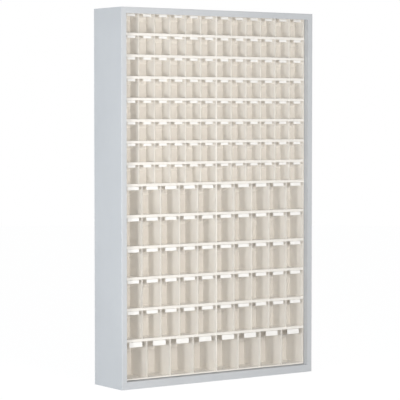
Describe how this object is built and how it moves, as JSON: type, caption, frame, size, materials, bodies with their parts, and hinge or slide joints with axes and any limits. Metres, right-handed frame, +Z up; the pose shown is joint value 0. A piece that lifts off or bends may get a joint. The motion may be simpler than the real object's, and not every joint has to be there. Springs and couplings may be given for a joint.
{
  "type": "parts bin cabinet",
  "caption": "Tall steel cabinet with an open front, filled with rows of clear small-parts bins that tip forward out of white moulded frames.",
  "frame": {"origin": "middle of the footprint, on the floor", "axes": "+Z up, front with the bins towards -Y, +X to the right as seen from the front"},
  "size_m": [1.262, 0.27, 2],
  "materials": {
    "cabinet_paint": "satin",
    "rail_steel": "satin",
    "frame_plastic": "satin",
    "clear_plastic": "clear gloss"
  },
  "bodies": {
    "cabinet": {"side_panel_left": "cabinet_paint", "side_panel_right": "cabinet_paint", "top_panel": "cabinet_paint", "base_panel": "cabinet_paint", "back_panel": "cabinet_paint", "hanging_rails_small": "rail_steel", "hanging_rails_medium": "rail_steel", "hanging_rails_large": "rail_steel", "module_frames_small": "frame_plastic", "module_frames_medium": "frame_plastic", "module_frames_large": "frame_plastic"},
    "small_bins_row_1": {"small_bins_row_1": "clear_plastic"},
    "small_bins_row_2": {"small_bins_row_2": "clear_plastic"},
    "small_bins_row_3": {"small_bins_row_3": "clear_plastic"},
    "small_bins_row_4": {"small_bins_row_4": "clear_plastic"},
    "small_bins_row_5": {"small_bins_row_5": "clear_plastic"},
    "small_bins_row_6": {"small_bins_row_6": "clear_plastic"},
    "small_bins_row_7": {"small_bins_row_7": "clear_plastic"},
    "small_bin_01": {"small_bin_01": "clear_plastic"},
    "small_bin_02": {"small_bin_02": "clear_plastic"},
    "small_bin_03": {"small_bin_03": "clear_plastic"},
    "small_bin_04": {"small_bin_04": "clear_plastic"},
    "small_bin_05": {"small_bin_05": "clear_plastic"},
    "small_bin_06": {"small_bin_06": "clear_plastic"},
    "small_bin_07": {"small_bin_07": "clear_plastic"},
    "small_bin_08": {"small_bin_08": "clear_plastic"},
    "small_bin_09": {"small_bin_09": "clear_plastic"},
    "small_bin_10": {"small_bin_10": "clear_plastic"},
    "small_bin_11": {"small_bin_11": "clear_plastic"},
    "small_bin_12": {"small_bin_12": "clear_plastic"},
    "medium_bins_row_1": {"medium_bins_row_1": "clear_plastic"},
    "medium_bins_row_2": {"medium_bins_row_2": "clear_plastic"},
    "medium_bins_row_3": {"medium_bins_row_3": "clear_plastic"},
    "medium_bins_row_4": {"medium_bins_row_4": "clear_plastic"},
    "medium_bin_01": {"medium_bin_01": "clear_plastic"},
    "medium_bin_02": {"medium_bin_02": "clear_plastic"},
    "medium_bin_03": {"medium_bin_03": "clear_plastic"},
    "medium_bin_04": {"medium_bin_04": "clear_plastic"},
    "medium_bin_05": {"medium_bin_05": "clear_plastic"},
    "medium_bin_06": {"medium_bin_06": "clear_plastic"},
    "medium_bin_07": {"medium_bin_07": "clear_plastic"},
    "medium_bin_08": {"medium_bin_08": "clear_plastic"},
    "medium_bin_09": {"medium_bin_09": "clear_plastic"},
    "medium_bin_10": {"medium_bin_10": "clear_plastic"},
    "large_bin_01": {"large_bin_01": "clear_plastic"},
    "large_bin_02": {"large_bin_02": "clear_plastic"},
    "large_bin_03": {"large_bin_03": "clear_plastic"},
    "large_bin_04": {"large_bin_04": "clear_plastic"},
    "large_bin_05": {"large_bin_05": "clear_plastic"},
    "large_bin_06": {"large_bin_06": "clear_plastic"},
    "large_bin_07": {"large_bin_07": "clear_plastic"},
    "large_bin_08": {"large_bin_08": "clear_plastic"}
  },
  "joints": [
    {"name": "small_bins_row_1_tilt", "type": "hinge", "parent": "cabinet", "child": "small_bins_row_1", "pos_m": [0, -0.0935, 1.87], "axis": [1, 0, 0], "range_deg": [0, 50]},
    {"name": "small_bins_row_2_tilt", "type": "hinge", "parent": "cabinet", "child": "small_bins_row_2", "pos_m": [0, -0.0935, 1.757], "axis": [1, 0, 0], "range_deg": [0, 50]},
    {"name": "small_bins_row_3_tilt", "type": "hinge", "parent": "cabinet", "child": "small_bins_row_3", "pos_m": [0, -0.0935, 1.644], "axis": [1, 0, 0], "range_deg": [0, 50]},
    {"name": "small_bins_row_4_tilt", "type": "hinge", "parent": "cabinet", "child": "small_bins_row_4", "pos_m": [0, -0.0935, 1.531], "axis": [1, 0, 0], "range_deg": [0, 50]},
    {"name": "small_bins_row_5_tilt", "type": "hinge", "parent": "cabinet", "child": "small_bins_row_5", "pos_m": [0, -0.0935, 1.418], "axis": [1, 0, 0], "range_deg": [0, 50]},
    {"name": "small_bins_row_6_tilt", "type": "hinge", "parent": "cabinet", "child": "small_bins_row_6", "pos_m": [0, -0.0935, 1.305], "axis": [1, 0, 0], "range_deg": [0, 50]},
    {"name": "small_bins_row_7_tilt", "type": "hinge", "parent": "cabinet", "child": "small_bins_row_7", "pos_m": [0, -0.0935, 1.192], "axis": [1, 0, 0], "range_deg": [0, 50]},
    {"name": "small_bin_01_tilt", "type": "hinge", "parent": "cabinet", "child": "small_bin_01", "pos_m": [-0.54875, -0.0935, 1.079], "axis": [1, 0, 0], "range_deg": [0, 50]},
    {"name": "small_bin_02_tilt", "type": "hinge", "parent": "cabinet", "child": "small_bin_02", "pos_m": [-0.44925, -0.0935, 1.079], "axis": [1, 0, 0], "range_deg": [0, 50]},
    {"name": "small_bin_03_tilt", "type": "hinge", "parent": "cabinet", "child": "small_bin_03", "pos_m": [-0.34975, -0.0935, 1.079], "axis": [1, 0, 0], "range_deg": [0, 50]},
    {"name": "small_bin_04_tilt", "type": "hinge", "parent": "cabinet", "child": "small_bin_04", "pos_m": [-0.25025, -0.0935, 1.079], "axis": [1, 0, 0], "range_deg": [0, 50]},
    {"name": "small_bin_05_tilt", "type": "hinge", "parent": "cabinet", "child": "small_bin_05", "pos_m": [-0.15075, -0.0935, 1.079], "axis": [1, 0, 0], "range_deg": [0, 50]},
    {"name": "small_bin_06_tilt", "type": "hinge", "parent": "cabinet", "child": "small_bin_06", "pos_m": [-0.05125, -0.0935, 1.079], "axis": [1, 0, 0], "range_deg": [0, 50]},
    {"name": "small_bin_07_tilt", "type": "hinge", "parent": "cabinet", "child": "small_bin_07", "pos_m": [0.05125, -0.0935, 1.079], "axis": [1, 0, 0], "range_deg": [0, 50]},
    {"name": "small_bin_08_tilt", "type": "hinge", "parent": "cabinet", "child": "small_bin_08", "pos_m": [0.15075, -0.0935, 1.079], "axis": [1, 0, 0], "range_deg": [0, 50]},
    {"name": "small_bin_09_tilt", "type": "hinge", "parent": "cabinet", "child": "small_bin_09", "pos_m": [0.25025, -0.0935, 1.079], "axis": [1, 0, 0], "range_deg": [0, 50]},
    {"name": "small_bin_10_tilt", "type": "hinge", "parent": "cabinet", "child": "small_bin_10", "pos_m": [0.34975, -0.0935, 1.079], "axis": [1, 0, 0], "range_deg": [0, 50]},
    {"name": "small_bin_11_tilt", "type": "hinge", "parent": "cabinet", "child": "small_bin_11", "pos_m": [0.44925, -0.0935, 1.079], "axis": [1, 0, 0], "range_deg": [0, 50]},
    {"name": "small_bin_12_tilt", "type": "hinge", "parent": "cabinet", "child": "small_bin_12", "pos_m": [0.54875, -0.0935, 1.079], "axis": [1, 0, 0], "range_deg": [0, 50]},
    {"name": "medium_bins_row_1_tilt", "type": "hinge", "parent": "cabinet", "child": "medium_bins_row_1", "pos_m": [0, -0.0935, 0.915], "axis": [1, 0, 0], "range_deg": [0, 50]},
    {"name": "medium_bins_row_2_tilt", "type": "hinge", "parent": "cabinet", "child": "medium_bins_row_2", "pos_m": [0, -0.0935, 0.751], "axis": [1, 0, 0], "range_deg": [0, 50]},
    {"name": "medium_bins_row_3_tilt", "type": "hinge", "parent": "cabinet", "child": "medium_bins_row_3", "pos_m": [0, -0.0935, 0.587], "axis": [1, 0, 0], "range_deg": [0, 50]},
    {"name": "medium_bins_row_4_tilt", "type": "hinge", "parent": "cabinet", "child": "medium_bins_row_4", "pos_m": [0, -0.0935, 0.423], "axis": [1, 0, 0], "range_deg": [0, 50]},
    {"name": "medium_bin_01_tilt", "type": "hinge", "parent": "cabinet", "child": "medium_bin_01", "pos_m": [-0.5388, -0.0935, 0.259], "axis": [1, 0, 0], "range_deg": [0, 50]},
    {"name": "medium_bin_02_tilt", "type": "hinge", "parent": "cabinet", "child": "medium_bin_02", "pos_m": [-0.4194, -0.0935, 0.259], "axis": [1, 0, 0], "range_deg": [0, 50]},
    {"name": "medium_bin_03_tilt", "type": "hinge", "parent": "cabinet", "child": "medium_bin_03", "pos_m": [-0.3, -0.0935, 0.259], "axis": [1, 0, 0], "range_deg": [0, 50]},
    {"name": "medium_bin_04_tilt", "type": "hinge", "parent": "cabinet", "child": "medium_bin_04", "pos_m": [-0.1806, -0.0935, 0.259], "axis": [1, 0, 0], "range_deg": [0, 50]},
    {"name": "medium_bin_05_tilt", "type": "hinge", "parent": "cabinet", "child": "medium_bin_05", "pos_m": [-0.0612, -0.0935, 0.259], "axis": [1, 0, 0], "range_deg": [0, 50]},
    {"name": "medium_bin_06_tilt", "type": "hinge", "parent": "cabinet", "child": "medium_bin_06", "pos_m": [0.0612, -0.0935, 0.259], "axis": [1, 0, 0], "range_deg": [0, 50]},
    {"name": "medium_bin_07_tilt", "type": "hinge", "parent": "cabinet", "child": "medium_bin_07", "pos_m": [0.1806, -0.0935, 0.259], "axis": [1, 0, 0], "range_deg": [0, 50]},
    {"name": "medium_bin_08_tilt", "type": "hinge", "parent": "cabinet", "child": "medium_bin_08", "pos_m": [0.3, -0.0935, 0.259], "axis": [1, 0, 0], "range_deg": [0, 50]},
    {"name": "medium_bin_09_tilt", "type": "hinge", "parent": "cabinet", "child": "medium_bin_09", "pos_m": [0.4194, -0.0935, 0.259], "axis": [1, 0, 0], "range_deg": [0, 50]},
    {"name": "medium_bin_10_tilt", "type": "hinge", "parent": "cabinet", "child": "medium_bin_10", "pos_m": [0.5388, -0.0935, 0.259], "axis": [1, 0, 0], "range_deg": [0, 50]},
    {"name": "large_bin_01_tilt", "type": "hinge", "parent": "cabinet", "child": "large_bin_01", "pos_m": [-0.52387, -0.0935, 0.052], "axis": [1, 0, 0], "range_deg": [0, 50]},
    {"name": "large_bin_02_tilt", "type": "hinge", "parent": "cabinet", "child": "large_bin_02", "pos_m": [-0.37462, -0.0935, 0.052], "axis": [1, 0, 0], "range_deg": [0, 50]},
    {"name": "large_bin_03_tilt", "type": "hinge", "parent": "cabinet", "child": "large_bin_03", "pos_m": [-0.22537, -0.0935, 0.052], "axis": [1, 0, 0], "range_deg": [0, 50]},
    {"name": "large_bin_04_tilt", "type": "hinge", "parent": "cabinet", "child": "large_bin_04", "pos_m": [-0.07612, -0.0935, 0.052], "axis": [1, 0, 0], "range_deg": [0, 50]},
    {"name": "large_bin_05_tilt", "type": "hinge", "parent": "cabinet", "child": "large_bin_05", "pos_m": [0.07612, -0.0935, 0.052], "axis": [1, 0, 0], "range_deg": [0, 50]},
    {"name": "large_bin_06_tilt", "type": "hinge", "parent": "cabinet", "child": "large_bin_06", "pos_m": [0.22537, -0.0935, 0.052], "axis": [1, 0, 0], "range_deg": [0, 50]},
    {"name": "large_bin_07_tilt", "type": "hinge", "parent": "cabinet", "child": "large_bin_07", "pos_m": [0.37462, -0.0935, 0.052], "axis": [1, 0, 0], "range_deg": [0, 50]},
    {"name": "large_bin_08_tilt", "type": "hinge", "parent": "cabinet", "child": "large_bin_08", "pos_m": [0.52387, -0.0935, 0.052], "axis": [1, 0, 0], "range_deg": [0, 50]}
  ]
}
